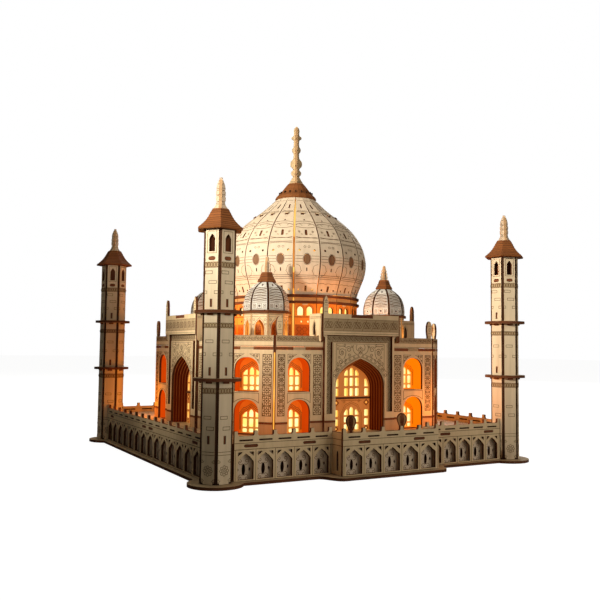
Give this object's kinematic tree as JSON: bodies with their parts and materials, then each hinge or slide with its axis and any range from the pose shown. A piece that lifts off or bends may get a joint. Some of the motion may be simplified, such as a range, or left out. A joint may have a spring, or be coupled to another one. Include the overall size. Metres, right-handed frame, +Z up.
{
  "type": "miniature landmark model",
  "caption": "Laser-cut plywood miniature of a domed mausoleum on an arcaded plinth, with a slender minaret at each corner and a lamp inside.",
  "frame": {"origin": "middle of the underside of the base plate, 2.75 mm in front of the dome's axis", "axes": "+Z up through the dome; -Y towards the front, the side with a single spire beside its cornice; +X to the right seen from the front"},
  "size_m": [0.286, 0.2915, 0.2834],
  "materials": {
    "basswood": "bare basswood plywood, laser-etched",
    "edge_wood": "plywood seen mostly at its laser-burnt edge",
    "walnut": "brown stained plywood with a satin sheen",
    "black_plastic": "moulded black plastic",
    "lamp_lens": "warm white lamp lens, lit"
  },
  "bodies": {
    "model": {"base_plate": "edge_wood", "plinth_backing_wall": "basswood", "deck": "basswood", "roof_plate": "basswood", "drum": "basswood", "dome": "basswood", "dome_finial": "basswood", "dome_cap": "walnut", "front_arcade_left": "basswood", "front_arcade_centre": "basswood", "front_arcade_right": "basswood", "right_arcade": "basswood", "back_arcade": "basswood", "left_arcade": "basswood", "front_tree_left": "basswood", "front_tree_right": "basswood", "front_portal": "basswood", "right_portal": "basswood", "back_portal": "basswood", "left_portal": "basswood", "front_left_hall_wall": "basswood", "front_left_kiosk": "basswood", "front_left_kiosk_dome": "basswood", "front_left_minaret_shaft": "basswood", "front_left_lower_balcony": "edge_wood", "front_left_upper_balcony": "edge_wood", "front_left_minaret_roof": "walnut", "front_left_minaret_finial": "basswood", "front_right_hall_wall": "basswood", "front_right_kiosk": "basswood", "front_right_kiosk_dome": "basswood", "front_right_minaret_shaft": "basswood", "front_right_lower_balcony": "edge_wood", "front_right_upper_balcony": "edge_wood", "front_right_minaret_roof": "walnut", "front_right_minaret_finial": "basswood", "back_right_hall_wall": "basswood", "back_right_kiosk": "basswood", "back_right_kiosk_dome": "basswood", "back_right_minaret_shaft": "basswood", "back_right_lower_balcony": "edge_wood", "back_right_upper_balcony": "edge_wood", "back_right_minaret_roof": "walnut", "back_right_minaret_finial": "basswood", "back_left_hall_wall": "basswood", "back_left_kiosk": "basswood", "back_left_kiosk_dome": "basswood", "back_left_minaret_shaft": "basswood", "back_left_lower_balcony": "edge_wood", "back_left_upper_balcony": "edge_wood", "back_left_minaret_roof": "walnut", "back_left_minaret_finial": "basswood", "battery_box": "black_plastic", "led_lamp": "lamp_lens"},
    "lid": {"battery_lid": "black_plastic"},
    "switch": {"switch_knob": "black_plastic"}
  },
  "joints": [
    {"name": "battery_lid_slide", "type": "slide", "parent": "model", "child": "lid", "axis": [1, 0, 0], "range_m": [0, 0.022]},
    {"name": "switch_slide", "type": "slide", "parent": "model", "child": "switch", "axis": [0, 1, 0], "range_m": [0, 0.003]}
  ]
}
